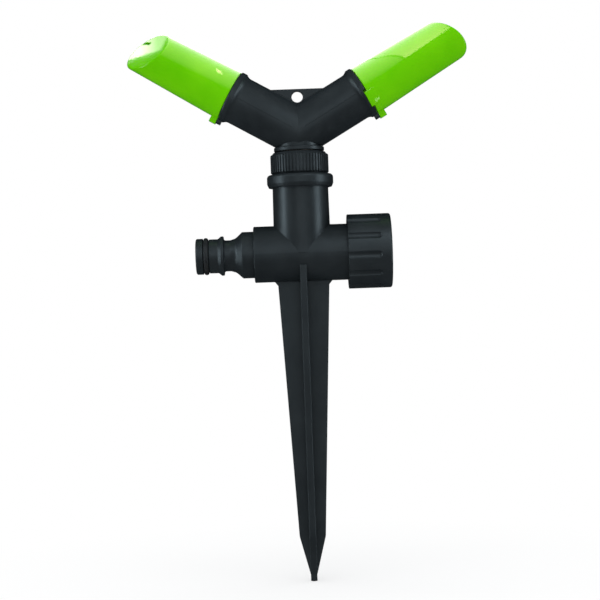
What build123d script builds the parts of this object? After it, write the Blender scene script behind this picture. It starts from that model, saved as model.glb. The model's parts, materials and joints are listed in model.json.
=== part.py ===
from build123d import *

import math
import os

# A two-arm rotating lawn sprinkler on a ground spike.
# Millimetres. The spin axis is +Z and z = 0 is ground level, at the underside of the tee's barrel.
# +X points along the tee towards the end cap, and -Y is the front.

# ---- driving dimensions ----
ARM_PITCH = 30.0  # arms above horizontal, degrees
RUNNING_GAP = 0.08  # radial clearance of a turning or sliding fit
THREAD_PITCH = 1.814  # 14 turns per inch, both pipe threads
FLANK_ANGLE = 27.5  # half of the pipe thread's 55 degrees

BARREL_R = 12.2
BARREL_AXIS_Z = 12.2
BARREL_LEFT_X = -21.1
BARREL_BORE_R = 9.2
RISER_FOOT_R = 12.4
RISER_HEAD_R = 12.1
RISER_BORE_R = 7.2
COLLAR_R = 14.4
COLLAR_Z = (40.8, 46.4)
NECK_TOP_Z = 51.6
NECK_ROOT_R = 9.45
NECK_CREST_R = 10.35

OUTLET_END_X = 34.5
OUTLET_ROOT_R = 12.15
OUTLET_CREST_R = 13.10
CAP_R = 16.15
CAP_X = (19.6, 38.4)
CAP_FLOOR_X = 36.5
CAP_FLUTES = 12
CAP_FLUTE_TURN = 7.0  # first flute below the front, degrees
THREAD_CLEARANCE = 0.25  # radial, between mating crests and roots

SPIKE_TOP_HALF = 11.2
SPIKE_SHOULDER_HALF = 5.7
SPIKE_SHOULDER_Z = -110.8
SPIKE_TIP_HALF = 0.65
SPIKE_TIP_Z = -130.4
SPIKE_RIB = 2.8
SPIKE_RIB_TOP_Z = 7.0

NUT_R = 12.6
NUT_Z = (46.6, 56.0)
NUT_ROOF_Z = 54.4
NUT_HOLE_R = 7.1
NUT_RIBS = 54

SPINDLE_R = 5.0
SPINDLE_BORE_R = 3.6
SPINDLE_BOTTOM_Z = 42.5
SPINDLE_GROOVE_R = 4.3
CLIP_Z = (43.6, 45.3)
BUSH_BORE_R = SPINDLE_R + RUNNING_GAP
BUSH_BOTTOM_Z = 46.0
BUSH_FLANGE_Z = (53.0, 54.3)

ROTOR_FLANGE_R = 10.9
ROTOR_FLANGE_Z = (56.5, 58.3)
ROTOR_NECK_R = 9.5
ARM_MEET_Z = 64.8
ARM_R = 10.6
ARM_LENGTH = 33.6
ARM_FLANGE_R = 11.65
ARM_FLANGE_THICK = 2.4
ARM_WATERWAY_R = 5.0
SOCKET_R = 8.6
SOCKET_FLOOR = 19.0
WEB_THICK = 3.0
WEB_TOP_Z = 83.5
WEB_HALF_WIDTH = 14.0
HANG_HOLE_R = 2.45
HANG_HOLE_Z = 80.1
LUG_WIDTH = 4.2

NOZZLE_BASE_R = 11.4
NOZZLE_TAPER = 1.65  # degrees each side
NOZZLE_WALL = 1.6
NOZZLE_CUT = 74.6  # where the slanted end face crosses the arm's axis
NOZZLE_CUT_NORMAL = (0.36, -0.64, 1.0)  # up, sideways and outward parts
SLOT_CENTRE = (3.6, 6.5)  # up and sideways from the arm's axis
SLOT_LENGTH = 5.2
SLOT_WIDTH = 1.2
SLOT_TURN = 102  # degrees about the arm's axis
SPIGOT_R = SOCKET_R - RUNNING_GAP
SPIGOT_LENGTH = 12.0
SPIGOT_BORE_R = 5.4


# ---- shared shapes ----
def outline(points):
    """A closed flat face in the XZ plane from (x, z) or (x, z, corner radius) points."""
    corners = [(p[0], 0, p[1]) for p in points]
    radii = [p[2] if len(p) > 2 else 0 for p in points]
    return make_face(FilletPolyline(*corners, radius=radii, close=True))


def turned(*points):
    """A solid turned about +Z from a closed outline of (radius, height[, corner radius]) points."""
    return revolve(outline(points), axis=Axis.Z)


def tube(outer_r, inner_r, low, high, edge=0.0):
    """A plain ring or sleeve about +Z with its outer edges rounded."""
    return turned((inner_r, low), (outer_r, low, edge), (outer_r, high, edge), (inner_r, high))


def rod(radius, low, high):
    """A solid cylinder about +Z between two heights."""
    return Pos(0, 0, low) * Cylinder(radius, high - low, align=(Align.CENTER, Align.CENTER, Align.MIN))


def block(x, y, z):
    """A box between (low, high) pairs."""
    size = (x[1] - x[0], y[1] - y[0], z[1] - z[0])
    centre = ((x[0] + x[1]) / 2, (y[0] + y[1]) / 2, (z[0] + z[1]) / 2)
    return Pos(*centre) * Box(*size)


def o_ring(ring_r, section_r, height):
    """A rubber ring about +Z at its fitted size."""
    return Pos(0, 0, height) * Torus(ring_r, section_r)


def thread_ridge(base_r, crest_r, low, turns):
    """The helical ridge of a pipe thread, rooted 0.15 mm inside the wall that carries it."""
    outward = 1 if crest_r > base_r else -1
    slope = math.tan(math.radians(FLANK_ANGLE))
    sink = 0.15
    half_crest = 0.13
    half_base = half_crest + (abs(crest_r - base_r) + sink) * slope
    root_r = base_r - outward * sink
    profile = outline([(root_r, -half_base), (crest_r, -half_crest), (crest_r, half_crest), (root_r, half_base)])
    path = Helix(THREAD_PITCH, turns * THREAD_PITCH, base_r)
    return Pos(0, 0, low) * sweep(profile, path=path, is_frenet=True)


# ---- placing ----
# The tee's fittings and the arms are drawn standing on +Z and then laid along their own axes.
ALONG_PLUS_X = Plane(origin=(0, 0, BARREL_AXIS_Z), x_dir=(0, -1, 0), z_dir=(1, 0, 0))
ALONG_MINUS_X = Plane(origin=(0, 0, BARREL_AXIS_Z), x_dir=(0, 1, 0), z_dir=(-1, 0, 0))
SIN_ARM = math.sin(math.radians(ARM_PITCH))
COS_ARM = math.cos(math.radians(ARM_PITCH))
LEFT_ARM = Plane(origin=(0, 0, ARM_MEET_Z), x_dir=(SIN_ARM, 0, COS_ARM), z_dir=(-COS_ARM, 0, SIN_ARM))
RIGHT_ARM = Plane(origin=(0, 0, ARM_MEET_Z), x_dir=(-SIN_ARM, 0, COS_ARM), z_dir=(COS_ARM, 0, SIN_ARM))


def place(plane, shape):
    """Carries a shape drawn at the origin onto a plane."""
    return plane.location * shape


# ---- body of the stand ----
def spike_blade():
    """One flat blade of the spike: a long taper, then a short point."""
    grow = (SPIKE_TOP_HALF - SPIKE_SHOULDER_HALF) / -SPIKE_SHOULDER_Z
    top_half = SPIKE_TOP_HALF + grow * SPIKE_RIB_TOP_Z
    points = [
        (-top_half, SPIKE_RIB_TOP_Z),
        (-SPIKE_SHOULDER_HALF, SPIKE_SHOULDER_Z, 6.0),
        (-SPIKE_TIP_HALF, SPIKE_TIP_Z, 0.4),
        (SPIKE_TIP_HALF, SPIKE_TIP_Z, 0.4),
        (SPIKE_SHOULDER_HALF, SPIKE_SHOULDER_Z, 6.0),
        (top_half, SPIKE_RIB_TOP_Z),
    ]
    blade = extrude(outline(points), amount=SPIKE_RIB / 2, dir=(0, 1, 0), both=True)
    long_edges = blade.edges().filter_by_position(Axis.Z, SPIKE_TIP_Z, SPIKE_RIB_TOP_Z - 0.1)
    sides = [e for e in long_edges if abs(abs(e.center().Y) - SPIKE_RIB / 2) < 0.01]
    return fillet(sides, 0.35)


def blade_foot():
    """The flared foot where a side blade meets the underside of the barrel."""
    flare = 1.6
    profile = outline(
        [
            (SPIKE_TOP_HALF - 1.0, -flare),
            (SPIKE_TOP_HALF, -flare),
            (SPIKE_TOP_HALF + flare, 0.4),
            (SPIKE_TOP_HALF - 1.0, 0.4),
        ]
    )
    foot = extrude(profile, amount=SPIKE_RIB / 2, dir=(0, 1, 0), both=True)
    return foot + Rot(0, 0, 180) * foot


def spike_body():
    """The moulding that holds everything: spike, tee barrel, riser, collar and both male necks."""
    riser = turned(
        (0, BARREL_AXIS_Z),
        (RISER_FOOT_R, BARREL_AXIS_Z),
        (RISER_HEAD_R, COLLAR_Z[0]),
        (COLLAR_R - 0.7, COLLAR_Z[0], 0.3),
        (COLLAR_R, COLLAR_Z[0] + 1.6, 0.9),
        (COLLAR_R, COLLAR_Z[1], 1.5),
        (NECK_ROOT_R, COLLAR_Z[1]),
        (NECK_ROOT_R, NECK_TOP_Z, 0.3),
        (0, NECK_TOP_Z),
    )
    barrel = turned(
        (0, BARREL_LEFT_X),
        (BARREL_R, BARREL_LEFT_X, 0.5),
        (BARREL_R, OUTLET_END_X - 14.3),
        (OUTLET_ROOT_R, OUTLET_END_X - 14.3),
        (OUTLET_ROOT_R, OUTLET_END_X, 0.3),
        (0, OUTLET_END_X),
    )
    body = riser + place(ALONG_PLUS_X, barrel)
    body += spike_blade() + Rot(0, 0, 90) * spike_blade() + blade_foot()
    body += thread_ridge(NECK_ROOT_R, NECK_CREST_R, 47.5, 1.75)
    body += place(ALONG_PLUS_X, thread_ridge(OUTLET_ROOT_R, OUTLET_CREST_R, 21.5, 6.5))
    body -= rod(RISER_BORE_R, BARREL_AXIS_Z, NECK_TOP_Z + 1)
    body -= place(ALONG_PLUS_X, rod(BARREL_BORE_R, BARREL_LEFT_X - 1, OUTLET_END_X + 1))
    return body


# ---- hose inlet ----
NIPPLE_GROOVE = (40.6, 43.2)  # distance from the spin axis
NIPPLE_GROOVE_R = 5.85
NIPPLE_TIP = 46.3
NIPPLE_BORE_R = 4.4


def hose_nipple():
    """Quick-connect nipple: press-in spigot, seat ring, waist, latch ridge and seal groove."""
    groove_low, groove_high = NIPPLE_GROOVE
    seat = -BARREL_LEFT_X
    shape = turned(
        (NIPPLE_BORE_R, 10.0),
        (BARREL_BORE_R - 0.03, 10.0, 0.5),
        (BARREL_BORE_R - 0.03, seat),
        (10.1, seat, 0.2),
        (10.1, seat + 5.0, 0.5),
        (9.7, seat + 5.4),
        (7.5, seat + 7.8, 3.0),
        (6.75, seat + 10.1, 3.0),
        (6.75, seat + 12.9, 0.8),
        (8.55, seat + 13.1, 0.3),
        (8.55, seat + 14.2, 0.3),
        (7.4, seat + 15.6, 0.3),
        (7.4, groove_low, 0.3),
        (NIPPLE_GROOVE_R, groove_low),
        (NIPPLE_GROOVE_R, groove_high),
        (7.8, groove_high, 0.2),
        (7.8, NIPPLE_TIP, 0.8),
        (NIPPLE_BORE_R, NIPPLE_TIP, 0.4),
    )
    return place(ALONG_MINUS_X, shape)


def nipple_o_ring():
    """Seal ring lying in the nipple's groove."""
    section_r = 1.12
    middle = sum(NIPPLE_GROOVE) / 2
    return place(ALONG_MINUS_X, o_ring(NIPPLE_GROOVE_R + section_r, section_r, middle))


# ---- end cap ----
def flute(angle):
    """One grip flute: a round-bottomed groove with a ball end, opening at the cap's rim."""
    groove_r = 1.9
    depth = 0.75
    stop = 32.6
    centre_r = CAP_R - depth + groove_r
    channel = rod(groove_r, CAP_X[0] - 1, stop) + Pos(0, 0, stop) * Sphere(groove_r)
    return Rot(0, 0, angle) * Pos(centre_r, 0, 0) * channel


def end_cap():
    """Screw cap with grip flutes, a plain band at its outer end and a female thread."""
    bore_r = OUTLET_CREST_R + THREAD_CLEARANCE
    shape = turned(
        (bore_r, CAP_X[0]),
        (CAP_R, CAP_X[0], 0.3),
        (CAP_R, CAP_X[1], 0.9),
        (0, CAP_X[1]),
        (0, CAP_FLOOR_X),
        (bore_r, CAP_FLOOR_X),
    )
    step = 360 / CAP_FLUTES
    for k in range(CAP_FLUTES):
        shape -= flute(CAP_FLUTE_TURN + k * step)
    start = 21.5 + THREAD_PITCH / 2
    shape += thread_ridge(bore_r, OUTLET_ROOT_R + THREAD_CLEARANCE, start, 6.0)
    return place(ALONG_PLUS_X, shape)


def cap_washer():
    """Flat rubber washer between the cap's floor and the end of the barrel."""
    return place(ALONG_PLUS_X, tube(12.2, 8.0, OUTLET_END_X + 0.05, CAP_FLOOR_X - 0.05))


# ---- bearing head ----
def bearing_nut():
    """Knurled nut that holds the bearing bush down on the neck."""
    bore_r = NECK_CREST_R + THREAD_CLEARANCE
    valley_r = NUT_R - 0.4
    shape = turned(
        (bore_r, NUT_Z[0]),
        (valley_r - 0.35, NUT_Z[0], 0.2),
        (valley_r, NUT_Z[0] + 2.0),
        (valley_r, NUT_Z[1] - 1.2),
        (valley_r - 1.0, NUT_Z[1], 0.2),
        (NUT_HOLE_R, NUT_Z[1]),
        (NUT_HOLE_R, NUT_ROOF_Z),
        (bore_r, NUT_ROOF_Z),
    )
    rib = block((valley_r - 0.5, NUT_R), (-0.4, 0.4), (NUT_Z[0] + 0.3, NUT_Z[1] - 1.0))
    rib = chamfer(rib.edges().filter_by(Axis.Y).group_by(Axis.X)[-1], 0.35)
    ribs = [Rot(0, 0, k * 360 / NUT_RIBS) * rib for k in range(NUT_RIBS)]
    shape = shape + ribs
    start = 47.5 + THREAD_PITCH / 2
    return shape + thread_ridge(bore_r, NECK_ROOT_R + 0.2, start, 1.9)


def bearing_bush():
    """Flanged plain bearing that the hollow spindle turns in."""
    return turned(
        (BUSH_BORE_R, BUSH_BOTTOM_Z),
        (RISER_BORE_R - 0.35, BUSH_BOTTOM_Z, 0.3),
        (RISER_BORE_R - 0.35, BUSH_FLANGE_Z[0]),
        (9.2, BUSH_FLANGE_Z[0], 0.2),
        (9.2, BUSH_FLANGE_Z[1], 0.2),
        (NUT_HOLE_R - RUNNING_GAP, BUSH_FLANGE_Z[1]),
        (NUT_HOLE_R - RUNNING_GAP, NUT_Z[1], 0.2),
        (BUSH_BORE_R, NUT_Z[1]),
    )


def neck_washer():
    """Rubber washer that seals the bush's flange on the rim of the neck."""
    return tube(9.3, RISER_BORE_R, NECK_TOP_Z + 0.05, BUSH_FLANGE_Z[0])


def upper_thrust_washer():
    """Slippery washer between the bush and the rotor's flange."""
    return tube(6.9, SPINDLE_R + 0.3, NUT_Z[1], ROTOR_FLANGE_Z[0] - 0.06)


def lower_thrust_washer():
    """Slippery washer that the spindle's clip bears on when water lifts the rotor."""
    return tube(6.7, SPINDLE_R + 0.3, BUSH_BOTTOM_Z - 0.55, BUSH_BOTTOM_Z)


# ---- rotor ----
def arm_shell():
    """Outside of one arm: tube, filleted end flange, locating lug and mould parting lines."""
    flange_foot = ARM_LENGTH - ARM_FLANGE_THICK
    root = -ARM_R * math.tan(math.radians(ARM_PITCH))
    shell = turned(
        (0, root),
        (ARM_R, root),
        (ARM_R, flange_foot - 1.4, 3.0),
        (ARM_FLANGE_R, flange_foot, 0.2),
        (ARM_FLANGE_R, ARM_LENGTH, 0.7),
        (0, ARM_LENGTH),
    )
    lug = block((-13.3, -ARM_FLANGE_R + 2), (-LUG_WIDTH / 2, LUG_WIDTH / 2), (flange_foot + 0.5, ARM_LENGTH))
    shell += fillet(lug.edges().filter_by(Axis.Z).group_by(Axis.X)[0], 0.8)
    for side in (-1, 1):
        shell += Pos(0, side * ARM_R, 16.5) * Box(0.3, 0.18, 27.0)
    return shell


def sector(inner_r, outer_r, low, high, start_angle, end_angle):
    """Part of a ring between two angles, measured from the arm's own +X."""
    ring = outline([(inner_r, low), (outer_r, low), (outer_r, high), (inner_r, high)])
    return Rot(0, 0, start_angle) * revolve(ring, axis=Axis.Z, revolution_arc=end_angle - start_angle)


def key_recess():
    """Pocket in the arm's rim that the nozzle's key drops into."""
    return sector(SOCKET_R - 0.1, ARM_FLANGE_R + 1, ARM_LENGTH - 1.5, ARM_LENGTH + 1, 92, 138)


def arm_cavity():
    """Waterway and nozzle socket of one arm."""
    return rod(ARM_WATERWAY_R, 0, SOCKET_FLOOR + 1) + rod(SOCKET_R, SOCKET_FLOOR, ARM_LENGTH + 1)


def web():
    """Flat gusset between the arms, with the hole that the sprinkler hangs from."""
    plate = block((-WEB_HALF_WIDTH, WEB_HALF_WIDTH), (-WEB_THICK / 2, WEB_THICK / 2), (70.0, WEB_TOP_Z))
    under_arms = Pos(0, 0, ARM_MEET_Z) * Rot(90, 0, 0) * Cylinder(30, 10)
    hole = Pos(0, 0, HANG_HOLE_Z) * Rot(90, 0, 0) * Cylinder(HANG_HOLE_R, 10)
    return (plate & under_arms) - hole


def rotor():
    """Turning head: flange, hollow spindle, two arms and the web between them."""
    left_half = place(LEFT_ARM, arm_shell()) & block((-60, 0), (-30, 30), (ROTOR_FLANGE_Z[1], 120))
    arms = left_half + Rot(0, 0, 180) * left_half
    base = turned(
        (0, SPINDLE_BOTTOM_Z),
        (SPINDLE_R, SPINDLE_BOTTOM_Z, 0.4),
        (SPINDLE_R, ROTOR_FLANGE_Z[0]),
        (ROTOR_FLANGE_R, ROTOR_FLANGE_Z[0], 0.3),
        (ROTOR_FLANGE_R, ROTOR_FLANGE_Z[1], 0.5),
        (ROTOR_NECK_R, ROTOR_FLANGE_Z[1]),
        (ROTOR_NECK_R, ROTOR_FLANGE_Z[1] + 1.6),
        (0, ROTOR_FLANGE_Z[1] + 1.6),
    )
    head = arms + base + web()
    head -= rod(SPINDLE_BORE_R, SPINDLE_BOTTOM_Z - 1, ARM_MEET_Z)
    for arm in (LEFT_ARM, RIGHT_ARM):
        head -= place(arm, arm_cavity())
        head -= place(arm, key_recess())
    head -= tube(SPINDLE_R + 1, SPINDLE_GROOVE_R, CLIP_Z[0], CLIP_Z[1])
    return head - tube(SPINDLE_R + 1, 4.0, 49.0, 50.6)


def spindle_clip():
    """Spring ring with a gap, snapped into the groove near the spindle's foot."""
    ring = tube(6.6, SPINDLE_GROOVE_R, CLIP_Z[0] + 0.2, CLIP_Z[1] - 0.1)
    return ring - block((0, 10), (-1.5, 1.5), (40, 50))


def spindle_o_ring():
    """Rubber ring that seals the spindle in its bush."""
    section_r = (BUSH_BORE_R - 0.02 - 4.0) / 2
    return o_ring(4.0 + section_r, section_r, 49.8)


# ---- nozzles ----
def cut_plane(offset):
    """Plane of the slanted end face, moved along the arm's axis by offset."""
    return Plane(origin=(0, 0, NOZZLE_CUT + offset), z_dir=NOZZLE_CUT_NORMAL)


def below_cut(shape, offset):
    """The part of a shape on the arm's side of the slanted plane."""
    return split(shape, bisect_by=cut_plane(offset), keep=Keep.BOTTOM)


def nozzle_slot():
    """The narrow slot through the slanted face that throws the water."""
    up, side, out = NOZZLE_CUT_NORMAL
    centre_up, centre_side = SLOT_CENTRE
    centre_out = NOZZLE_CUT - (up * centre_up + side * centre_side) / out
    return Pos(centre_up, centre_side, centre_out) * Rot(0, 0, SLOT_TURN) * Box(SLOT_LENGTH, SLOT_WIDTH, 8.0)


def nozzle():
    """Push-fit nozzle drawn along +Z from the point where the arms meet."""
    seat = ARM_LENGTH + 0.1
    length = 50.0
    taper = math.tan(math.radians(NOZZLE_TAPER))
    far = seat + length
    far_r = NOZZLE_BASE_R - length * taper
    skin = turned((0, seat), (NOZZLE_BASE_R, seat, 0.3), (far_r, far), (0, far))
    skin = below_cut(skin, 0)
    skin = fillet(skin.edges().filter_by_position(Axis.Z, 60, 100), 0.6)
    hollow = turned(
        (0, seat + 3.0), (NOZZLE_BASE_R - NOZZLE_WALL, seat + 3.0), (far_r - NOZZLE_WALL, far), (0, far)
    )
    hollow = below_cut(hollow, -2.4)
    spigot_end = seat - SPIGOT_LENGTH
    spigot = turned(
        (0, spigot_end),
        (SPIGOT_R, spigot_end, 0.4),
        (SPIGOT_R, spigot_end + 3.0),
        (6.7, spigot_end + 3.0),
        (6.7, spigot_end + 5.2),
        (SPIGOT_R, spigot_end + 5.2),
        (SPIGOT_R, seat + 1),
        (0, seat + 1),
    )
    lug = block((-13.9, -8), (-LUG_WIDTH / 2, LUG_WIDTH / 2), (seat, seat + 3.0))
    lug = fillet(lug.edges().filter_by(Axis.Z).group_by(Axis.X)[0], 0.8)
    dimple = Rot(0, 0, -128) * Pos(17.0, 0, seat + 16.4) * Sphere(7.0)
    shape = skin + spigot + lug + nozzle_key(seat)
    shape -= dimple
    shape -= hollow
    shape -= rod(SPIGOT_BORE_R, spigot_end - 1, seat + 4)
    return shape - nozzle_slot()


def nozzle_key(seat):
    """Ramped key that seats in the arm's rim and sets the nozzle's angle."""
    foot = seat - 1.4
    ramp = [
        (SPIGOT_R - 0.5, foot),
        (ARM_FLANGE_R + 0.15, foot),
        (ARM_FLANGE_R + 0.25, seat + 0.8),
        (NOZZLE_BASE_R - 0.4, seat + 4.6),
        (SPIGOT_R - 0.5, seat + 4.6),
    ]
    return Rot(0, 0, 97) * revolve(outline(ramp), axis=Axis.Z, revolution_arc=37)


def nozzle_o_ring():
    """Seal ring in the nozzle's spigot."""
    section_r = (SOCKET_R - 0.03 - 6.7) / 2
    return o_ring(6.7 + section_r, section_r, ARM_LENGTH + 0.1 - SPIGOT_LENGTH + 4.1)


NODES = {
    "spike_body": spike_body,
    "hose_nipple": hose_nipple,
    "nipple_o_ring": nipple_o_ring,
    "end_cap": end_cap,
    "cap_washer": cap_washer,
    "bearing_nut": bearing_nut,
    "bearing_bush": bearing_bush,
    "neck_washer": neck_washer,
    "upper_thrust_washer": upper_thrust_washer,
    "lower_thrust_washer": lower_thrust_washer,
    "rotor": rotor,
    "spindle_clip": spindle_clip,
    "spindle_o_ring": spindle_o_ring,
    "left_nozzle": lambda: place(LEFT_ARM, nozzle()),
    "left_nozzle_o_ring": lambda: place(LEFT_ARM, nozzle_o_ring()),
    "right_nozzle": lambda: place(RIGHT_ARM, nozzle()),
    "right_nozzle_o_ring": lambda: place(RIGHT_ARM, nozzle_o_ring()),
}


os.makedirs("parts", exist_ok=True)
for name, make in NODES.items():
    export_step(make(), f"parts/{name}.step")
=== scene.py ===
import json
import math

import bpy
from mathutils import Matrix, Vector

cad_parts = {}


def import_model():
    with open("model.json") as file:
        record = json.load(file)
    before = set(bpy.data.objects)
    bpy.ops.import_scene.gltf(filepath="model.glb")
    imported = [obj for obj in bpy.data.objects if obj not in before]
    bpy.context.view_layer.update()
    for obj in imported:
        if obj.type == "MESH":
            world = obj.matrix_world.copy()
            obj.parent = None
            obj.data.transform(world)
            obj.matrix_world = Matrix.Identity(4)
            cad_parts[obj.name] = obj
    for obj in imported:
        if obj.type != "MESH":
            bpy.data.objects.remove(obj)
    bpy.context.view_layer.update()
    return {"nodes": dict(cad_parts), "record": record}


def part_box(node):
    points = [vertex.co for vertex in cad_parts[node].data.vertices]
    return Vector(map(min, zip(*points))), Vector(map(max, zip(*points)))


# Looks for the two-arm lawn sprinkler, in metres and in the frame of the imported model: the spin
# axis is +Z, ground level is z = 0, +X runs along the tee to the end cap and -Y is the front.

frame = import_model()
NODES = frame["nodes"]

MM = 0.001
CENTRE = Vector((0, 0, 0))
SPIKE_TIP_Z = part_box("spike_body")[0].z
NOZZLES = ("left_nozzle", "right_nozzle")

# The stretch of a noise texture's 0-1 range that most of its values fall in.
MIDDLE = (0.3, 0.7)

# Strength of the surroundings, as matt surfaces see them and as reflections do.
FILL = 0.4
MIRRORED_FILL = 0.03

# Watts of the lights that only matt shading sees.
KEY = 16.0
FRONT = 6.0

# Watts of the lights that only reflections see.
STRIP = 3.0
HIGH = 4.5
SHEEN = 1.2

WHITE = (1.0, 1.0, 1.0)
COOL = (0.72, 0.9, 1.0)


# ---- node helpers ----
def srgb(red, green, blue):
    """Linear colour from 0-255 display values."""
    def linear(value):
        value /= 255
        return value / 12.92 if value <= 0.04045 else ((value + 0.055) / 1.055) ** 2.4

    return (linear(red), linear(green), linear(blue), 1.0)


class Shader:
    """A Principled material and the few node shapes that every finish here is made of."""

    def __init__(self, name):
        self.material = bpy.data.materials.new(name)
        self.material.use_nodes = True
        self.tree = self.material.node_tree
        self.surface = self.tree.nodes["Principled BSDF"]
        self.coordinates = self.add("ShaderNodeTexCoord").outputs["Object"]

    def add(self, kind, **settings):
        node = self.tree.nodes.new(kind)
        for key, value in settings.items():
            setattr(node, key, value)
        return node

    def link(self, source, target):
        self.tree.links.new(source, target)

    def set(self, **values):
        for name, value in values.items():
            self.surface.inputs[name.replace("_", " ")].default_value = value

    def stretched(self, scale):
        """Object coordinates scaled by a different amount along each axis."""
        mapping = self.add("ShaderNodeMapping")
        mapping.inputs["Scale"].default_value = scale
        self.link(self.coordinates, mapping.inputs["Vector"])
        return mapping.outputs["Vector"]

    def noise(self, scale, detail=3.0, roughness=0.5, vector=None):
        node = self.add("ShaderNodeTexNoise")
        node.inputs["Scale"].default_value = scale
        node.inputs["Detail"].default_value = detail
        node.inputs["Roughness"].default_value = roughness
        self.link(vector or self.coordinates, node.inputs["Vector"])
        return node.outputs["Fac"]

    def ramp(self, source, low, high):
        """Turns a noise value into a colour between two colours."""
        node = self.add("ShaderNodeValToRGB")
        for element, position, colour in zip(node.color_ramp.elements, MIDDLE, (low, high)):
            element.position = position
            element.color = colour
        self.link(source, node.inputs["Fac"])
        return node.outputs["Color"]

    def range(self, source, low, high, at=MIDDLE):
        """Turns a value between the two in at into a number between low and high."""
        node = self.add("ShaderNodeMapRange")
        node.inputs["From Min"].default_value = at[0]
        node.inputs["From Max"].default_value = at[1]
        node.inputs["To Min"].default_value = low
        node.inputs["To Max"].default_value = high
        self.link(source, node.inputs["Value"])
        return node.outputs["Result"]

    def rounded_edges(self, radius):
        """A normal that makes sharp edges catch light as if they were rounded."""
        node = self.add("ShaderNodeBevel", samples=4)
        node.inputs["Radius"].default_value = radius
        return node.outputs["Normal"]

    def bump(self, height, distance, strength, normal=None):
        """A normal tilted by a height texture, on top of another normal if one is given."""
        node = self.add("ShaderNodeBump")
        node.inputs["Strength"].default_value = strength
        node.inputs["Distance"].default_value = distance
        self.link(height, node.inputs["Height"])
        if normal is not None:
            self.link(normal, node.inputs["Normal"])
        return node.outputs["Normal"]


# ---- finishes ----
def charcoal_plastic():
    """Satin moulded charcoal plastic: faint flow streaks, fine spark-eroded grain, soft edges."""
    s = Shader("charcoal_plastic")
    cloud = s.noise(70.0, 4.0, 0.55)
    s.link(s.ramp(cloud, srgb(20, 25, 28), srgb(28, 34, 37)), s.surface.inputs["Base Color"])
    streak = s.noise(260.0, 3.0, 0.6, s.stretched((1.0, 1.0, 0.25)))
    s.link(s.range(streak, 0.34, 0.46), s.surface.inputs["Roughness"])
    grain = s.noise(3200.0, 2.0, 0.6)
    wave = s.noise(120.0, 2.0, 0.5)
    edges = s.rounded_edges(0.35 * MM)
    swell = s.bump(wave, 0.12 * MM, 0.35, edges)
    s.link(s.bump(grain, 0.02 * MM, 0.5, swell), s.surface.inputs["Normal"])
    s.set(Specular_IOR_Level=0.5)
    return s.material


def green_plastic():
    """Glossy lime plastic with a little depth, soft edges, faint waves and handling scuffs."""
    s = Shader("green_plastic")
    cloud = s.noise(55.0, 3.0, 0.5)
    s.link(s.ramp(cloud, srgb(92, 186, 4), srgb(106, 196, 9)), s.surface.inputs["Base Color"])
    scuff = s.noise(900.0, 5.0, 0.7)
    scuffed = (0.45, 0.75)
    s.link(s.range(scuff, 0.04, 0.09, scuffed), s.surface.inputs["Roughness"])
    wave = s.noise(90.0, 2.0, 0.5)
    edges = s.rounded_edges(0.8 * MM)
    s.link(s.bump(wave, 0.02 * MM, 0.35, edges), s.surface.inputs["Normal"])
    s.set(Subsurface_Weight=0.12, Subsurface_Radius=(0.8, 1.6, 0.3), Subsurface_Scale=1.2 * MM)
    s.set(Specular_Tint=(1.0, 0.78, 0.42, 1.0))
    return s.material


def black_rubber():
    """Dull seal rubber with fine grain."""
    s = Shader("black_rubber")
    cloud = s.noise(400.0, 3.0)
    s.link(s.ramp(cloud, srgb(14, 15, 16), srgb(26, 27, 28)), s.surface.inputs["Base Color"])
    s.link(s.range(cloud, 0.55, 0.75), s.surface.inputs["Roughness"])
    grain = s.noise(4000.0, 2.0)
    s.link(s.bump(grain, 0.02 * MM, 0.5), s.surface.inputs["Normal"])
    return s.material


def natural_nylon():
    """Off-white bearing plastic with faint turning marks."""
    s = Shader("natural_nylon")
    cloud = s.noise(200.0, 3.0)
    s.link(s.ramp(cloud, srgb(214, 210, 198), srgb(228, 225, 214)), s.surface.inputs["Base Color"])
    s.link(s.range(cloud, 0.38, 0.5), s.surface.inputs["Roughness"])
    turning = s.noise(900.0, 2.0, 0.5, s.stretched((0.2, 0.2, 3.0)))
    s.link(s.bump(turning, 0.02 * MM, 0.5), s.surface.inputs["Normal"])
    s.set(Subsurface_Weight=0.1, Subsurface_Radius=(1.0, 0.9, 0.7), Subsurface_Scale=1.0 * MM)
    return s.material


def spring_steel():
    """Bright rolled spring steel."""
    s = Shader("spring_steel")
    rolling = s.noise(700.0, 4.0, 0.6, s.stretched((1.0, 1.0, 8.0)))
    tone = s.ramp(rolling, srgb(150, 152, 156), srgb(190, 192, 196))
    s.link(tone, s.surface.inputs["Base Color"])
    s.link(s.range(rolling, 0.2, 0.35), s.surface.inputs["Roughness"])
    s.link(s.bump(rolling, 0.01 * MM, 0.4), s.surface.inputs["Normal"])
    s.set(Metallic=1.0)
    return s.material


def finish_nodes():
    """Gives every CAD node the finish of its material slot."""
    finishes = {
        "black_plastic": charcoal_plastic(),
        "green_plastic": green_plastic(),
        "rubber": black_rubber(),
        "nylon": natural_nylon(),
        "spring_steel": spring_steel(),
    }
    for part in frame["record"]["subparts"]:
        mesh = NODES[part["node"]].data
        mesh.materials.clear()
        mesh.materials.append(finishes[part["material_slot"]])


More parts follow.
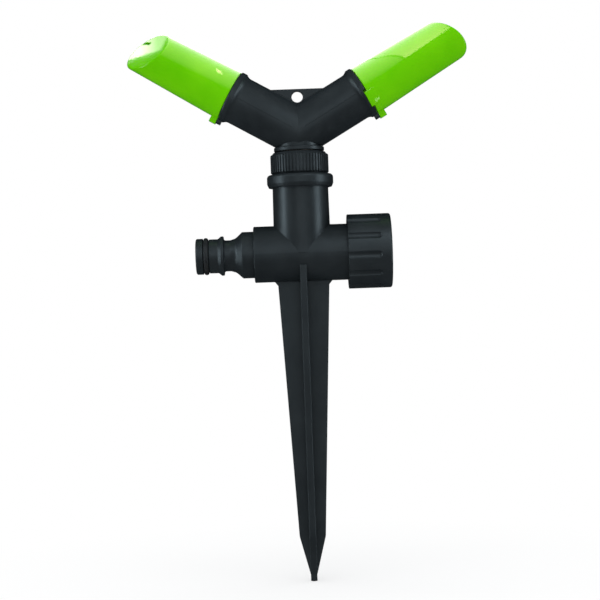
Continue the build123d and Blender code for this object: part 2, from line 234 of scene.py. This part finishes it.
# ---- studio ----
def stage_material():
    """Pale floor that brightens to white away from the spike's tip."""
    glow_share = (0.55, 1.0)
    glow_reach = (0.02, 0.2)
    s = Shader("stage_white")
    s.set(Base_Color=(0.86, 0.86, 0.86, 1.0), Roughness=0.9, Specular_IOR_Level=0.1)
    glow = s.add("ShaderNodeEmission")
    glow.inputs["Strength"].default_value = 1.0
    distance = s.add("ShaderNodeVectorMath", operation="LENGTH")
    s.link(s.coordinates, distance.inputs[0])
    mix = s.add("ShaderNodeMixShader")
    s.link(s.range(distance.outputs["Value"], *glow_share, glow_reach), mix.inputs["Fac"])
    s.link(s.surface.outputs["BSDF"], mix.inputs[1])
    s.link(glow.outputs["Emission"], mix.inputs[2])
    s.link(mix.outputs["Shader"], s.tree.nodes["Material Output"].inputs["Surface"])
    return s.material


def floor():
    """A wide floor under the spike's tip, which reflections don't see."""
    mesh = bpy.data.meshes.new("studio_floor")
    reach = 6.0
    corners = [(-reach, -reach, 0), (reach, -reach, 0), (reach, reach, 0), (-reach, reach, 0)]
    mesh.from_pydata(corners, [], [(0, 1, 2, 3)])
    mesh.materials.append(stage_material())
    plane = bpy.data.objects.new("studio_floor", mesh)
    plane.location = (0, 0, SPIKE_TIP_Z)
    plane.visible_glossy = False
    bpy.context.scene.collection.objects.link(plane)


def world():
    """White to the camera, even fill on matt surfaces, dark in reflections so edges go dark."""
    surroundings = bpy.data.worlds.new("studio")
    surroundings.use_nodes = True
    tree = surroundings.node_tree

    def background(node, colour, strength):
        node.inputs["Color"].default_value = (*colour, 1.0)
        node.inputs["Strength"].default_value = strength
        return node

    seen = background(tree.nodes["Background"], WHITE, 1.0)
    fill = background(tree.nodes.new("ShaderNodeBackground"), (0.93, 0.97, 1.0), FILL)
    mirrored = background(tree.nodes.new("ShaderNodeBackground"), (0.8, 0.9, 1.0), MIRRORED_FILL)
    path = tree.nodes.new("ShaderNodeLightPath")
    unseen = tree.nodes.new("ShaderNodeMixShader")
    tree.links.new(path.outputs["Is Glossy Ray"], unseen.inputs["Fac"])
    tree.links.new(fill.outputs["Background"], unseen.inputs[1])
    tree.links.new(mirrored.outputs["Background"], unseen.inputs[2])
    mix = tree.nodes.new("ShaderNodeMixShader")
    tree.links.new(path.outputs["Is Camera Ray"], mix.inputs["Fac"])
    tree.links.new(unseen.outputs["Shader"], mix.inputs[1])
    tree.links.new(seen.outputs["Background"], mix.inputs[2])
    tree.links.new(mix.outputs["Shader"], tree.nodes["World Output"].inputs["Surface"])
    bpy.context.scene.world = surroundings


def lit_nodes(light, name, nodes):
    """Makes a light or card act on some of the CAD nodes only."""
    lit = bpy.data.collections.new(name)
    for node in nodes:
        lit.objects.link(NODES[node])
    light.light_linking.receiver_collection = lit


def softbox(name, place, size, power, matt=True, sheen=True, only=()):
    """A rectangular light at place that faces the centre.

    It lights matt shading, shows in reflections, or both. It is cool if only reflections see it.
    """
    light = bpy.data.lights.new(name, "AREA")
    light.shape = "RECTANGLE"
    light.size, light.size_y = size
    light.energy = power
    light.color = WHITE if matt else COOL
    lamp = bpy.data.objects.new(name, light)
    facing = (CENTRE - Vector(place)).to_track_quat("-Z", "Y").to_matrix().to_4x4()
    lamp.matrix_world = Matrix.Translation(place) @ facing
    lamp.visible_camera = False
    lamp.visible_diffuse = matt
    lamp.visible_glossy = sheen
    bpy.context.scene.collection.objects.link(lamp)
    if only:
        lit_nodes(lamp, name, only)


def card(name, corners, axis, start, end):
    """A glowing card that only the nozzles mirror, given by its corners in millimetres.

    Its glow changes evenly along one axis, between two pairs of millimetres and strength.
    """
    s = Shader(name)
    place = s.add("ShaderNodeSeparateXYZ")
    s.link(s.coordinates, place.inputs[0])
    glow = s.add("ShaderNodeEmission")
    span = (start[0] * MM, end[0] * MM)
    s.link(s.range(place.outputs[axis], start[1], end[1], span), glow.inputs["Strength"])
    s.link(glow.outputs["Emission"], s.tree.nodes["Material Output"].inputs["Surface"])
    mesh = bpy.data.meshes.new(name)
    mesh.from_pydata([Vector(corner) * MM for corner in corners], [], [range(len(corners))])
    mesh.materials.append(s.material)
    sheet = bpy.data.objects.new(name, mesh)
    sheet.visible_camera = False
    sheet.visible_diffuse = False
    sheet.visible_transmission = False
    sheet.visible_shadow = False
    bpy.context.scene.collection.objects.link(sheet)
    lit_nodes(sheet, name, NOZZLES)


def lights():
    softbox("overhead", (0.0, -0.15, 1.1), (1.6, 1.2), KEY, sheen=False)
    softbox("front_fill", (-0.2, -1.3, 0.3), (1.0, 1.0), FRONT, sheen=False)
    dark = [node for node in NODES if node not in NOZZLES]
    softbox("left_strip", (-0.75, -0.18, 0.05), (0.22, 0.9), STRIP, matt=False)
    softbox("right_strip", (0.75, -0.22, 0.05), (0.22, 0.9), STRIP, matt=False)
    softbox("high_front", (0, -0.7, 0.7), (1.2, 0.5), HIGH, matt=False, only=dark)
    softbox("front_sheen", (0.1, -1.3, 0.25), (0.9, 0.7), SHEEN, matt=False, only=dark)
    cards()


def cards():
    """Makes the hard-edged light areas on the nozzles.

    The bright and soft cards lie side by side over the head. The face card, up behind the left
    nozzle, shows in its slanted face, and the glint card is the small spot by its flange.
    """
    above, back = 160, 500
    bright = [(-5, back), (10, 10), (40, -141), (57, -80), (90, back)]
    bright = [(x, y, above) for x, y in bright]
    card("bright_card", bright, "Y", (-140, 8.5), (10, 4.0))
    soft = [(-90, back), (-90, -260), (38, -260), (38, -140), (9, 10), (-7, back)]
    soft = [(x, y, above) for x, y in soft]
    card("soft_card", soft, "Y", (-240, 0.0), (0, 3.4))
    face = [(-150, 101, 192), (-131, 84, 197), (-121, 95, 211), (-146, 116, 203)]
    card("face_card", face, "X", (-142, 8.0), (-132, 2.4))
    glint = [(-9, -41, 158), (-6, -41, 158), (-6, -18, 158), (-9, -18, 158)]
    card("glint_card", glint, "Y", (-41, 14.0), (-18, 14.0))


def camera():
    """Long lens, level, just under the tee, rolled so that the head leans a little to the left."""
    distance = 0.725
    roll = math.radians(2.05)
    aim = Vector((-1.9 * MM, 0, -8.1 * MM))
    lens = bpy.data.cameras.new("camera")
    lens.lens = 100.0
    lens.sensor_width = 36.0
    lens.clip_start = 0.01
    view = bpy.data.objects.new("camera", lens)
    facing = Matrix.Rotation(math.radians(90), 4, "X") @ Matrix.Rotation(-roll, 4, "Z")
    view.matrix_world = Matrix.Translation(aim + Vector((0, -distance, 0))) @ facing
    bpy.context.scene.collection.objects.link(view)
    bpy.context.scene.camera = view


finish_nodes()
floor()
world()
lights()
camera()
bpy.context.scene.view_settings.view_transform = "Standard"
